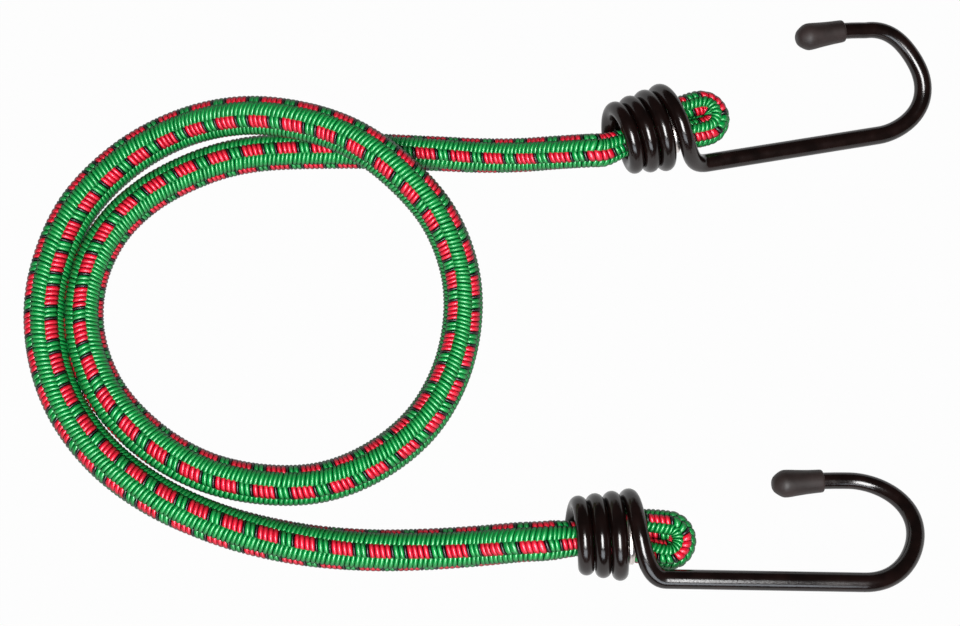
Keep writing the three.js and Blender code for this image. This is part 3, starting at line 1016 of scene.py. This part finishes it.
def zinc_material():
    made, tree, shader = material("bright_zinc")
    stretch = tree.nodes.new("ShaderNodeMapping")
    stretch.inputs["Scale"].default_value = SCRATCH_SCALES
    tree.links.new(object_places(tree), stretch.inputs["Vector"])
    scratches = noise(tree, stretch.outputs["Vector"], 1, SCRATCH_DETAIL)
    colour = two_colours(tree, scratches, linear(196, 186, 182), linear(232, 224, 220))
    tree.links.new(colour, shader.inputs["Base Color"])
    tree.links.new(value_range(tree, scratches, *ZINC_ROUGHNESS), shader.inputs["Roughness"])
    shader.inputs["Metallic"].default_value = 1.0
    return made


FIBRES = yarn_fibres()
GRAIN = coat_grain()
YARN_MATERIALS = {
    "green": yarn_material("green_yarn", linear(0, 144, 62), (0.6, 1, 0.7, 1)),
    "red": yarn_material("red_yarn", linear(226, 20, 48), (1, 0.5, 0.6, 1)),
    "black": yarn_material("black_yarn", linear(12, 12, 12), (0.5, 0.5, 0.5, 1)),
    "base": inner_material(),
}
COAT = coat_material()
VINYL = vinyl_material()
ZINC = zinc_material()


# The object

def build():
    cord = CordLine()
    loop_start = NECK_LENGTH + LEAD_LENGTH
    loop_stop = cord.length - loop_start
    loop = braid("cord_loop", cord, loop_start, loop_stop)
    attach(loop, "cord")
    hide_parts("sheath_loop", "core_loop")
    ends = {"a": (0, 1), "b": (cord.length, -1)}
    for letter, (mouth, inward) in ends.items():
        neck_end = mouth + inward * NECK_LENGTH
        lead_end = mouth + inward * (NECK_LENGTH + LEAD_LENGTH)
        tail = cord.along[0] if letter == "a" else cord.along[-1]
        lead = braid(f"cord_lead_{letter}", cord, *sorted((neck_end, lead_end)))
        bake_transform(lead)
        neck = braid(f"cord_neck_{letter}", cord, *sorted((mouth, neck_end)))
        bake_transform(neck)
        fold = braid(f"cord_fold_{letter}", cord, *sorted((tail, mouth)))
        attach(fold, f"end_{letter}")
        for piece, stretch in ((lead, "lead"), (neck, "neck"), (fold, "fold")):
            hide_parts(f"sheath_{stretch}_{letter}", f"core_{stretch}_{letter}")
        staple(letter)
        hook(letter)
        cap(letter)
    path = [cord.at(along) for along in np.arange(loop_start, loop_stop, CORD_PATH_STEP)]
    path.append(cord.at(loop_stop))


# Table, light and camera

def floor():
    """A white table: it shows as plain white, and a small share of its grey keeps the shadows."""
    half = FLOOR_SIZE / 2
    corners = np.array([(-half, -half, 0), (half, -half, 0), (half, half, 0), (-half, half, 0)])
    corners[:, 2] += FLOOR_HEIGHT
    obj = add_mesh("floor", corners, [(0, 1, 2, 3)], smooth=False)
    made, tree, shader = material("white_table")
    shader.inputs["Base Color"].default_value = FLOOR_COLOUR
    shader.inputs["Roughness"].default_value = FLOOR_ROUGHNESS
    glow = tree.nodes.new("ShaderNodeEmission")
    glow.inputs["Strength"].default_value = 1.0
    path = tree.nodes.new("ShaderNodeLightPath")
    mirrored = calc(tree, "MAXIMUM", path.outputs["Is Glossy Ray"], path.outputs["Is Transmission Ray"])
    seen = calc(tree, "MAXIMUM", path.outputs["Is Camera Ray"], mirrored)
    share = calc(tree, "MULTIPLY", seen, FLOOR_GLOW)
    mix = tree.nodes.new("ShaderNodeMixShader")
    tree.links.new(share, mix.inputs["Fac"])
    tree.links.new(shader.outputs[0], mix.inputs[1])
    tree.links.new(glow.outputs[0], mix.inputs[2])
    tree.links.new(mix.outputs[0], tree.nodes["Material Output"].inputs["Surface"])
    obj.data.materials.append(made)


def aim(obj, target):
    obj.rotation_euler = (Vector(target) - obj.location).to_track_quat("-Z", "Y").to_euler()


def lamp(name, place_at, size, power, colour):
    data = bpy.data.lights.new(name, "AREA")
    data.shape = "RECTANGLE"
    data.size, data.size_y = size
    data.energy = power
    data.color = colour
    obj = bpy.data.objects.new(name, data)
    obj.location = place_at
    aim(obj, CAMERA_TARGET)
    bpy.context.scene.collection.objects.link(obj)


def light():
    """A dim studio, darker overhead, with a high lamp and a low one in front."""
    world = bpy.data.worlds.new("studio")
    bpy.context.scene.world = world
    world.use_nodes = True
    tree = world.node_tree
    spot = tree.nodes.new("ShaderNodeTexCoord")
    parts = tree.nodes.new("ShaderNodeSeparateXYZ")
    tree.links.new(spot.outputs["Generated"], parts.inputs[0])
    height = tree.nodes.new("ShaderNodeMapRange")
    height.inputs["From Max"].default_value = SKY_CHANGE
    height.inputs["To Min"].default_value = SKY_AT_HORIZON
    height.inputs["To Max"].default_value = SKY_OVERHEAD
    tree.links.new(parts.outputs["Z"], height.inputs["Value"])
    sky = tree.nodes["Background"]
    sky.inputs["Color"].default_value = (1, 1, 1, 1)
    tree.links.new(height.outputs["Result"], sky.inputs["Strength"])
    for name, place_at, size, power, colour in LAMPS:
        lamp(name, place_at, size, power, colour)


def camera():
    data = bpy.data.cameras.new("camera")
    data.lens = CAMERA_LENS
    data.sensor_width = CAMERA_SENSOR
    data.clip_start = CAMERA_NEAREST
    obj = bpy.data.objects.new("camera", data)
    elevation = math.radians(CAMERA_ELEVATION)
    back = Vector((0, -math.cos(elevation), math.sin(elevation)))
    obj.location = Vector(CAMERA_TARGET) + back * CAMERA_DISTANCE
    aim(obj, CAMERA_TARGET)
    scene = bpy.context.scene
    scene.collection.objects.link(obj)
    scene.camera = obj
    scene.view_settings.view_transform = "Standard"


build()
floor()
light()
camera()
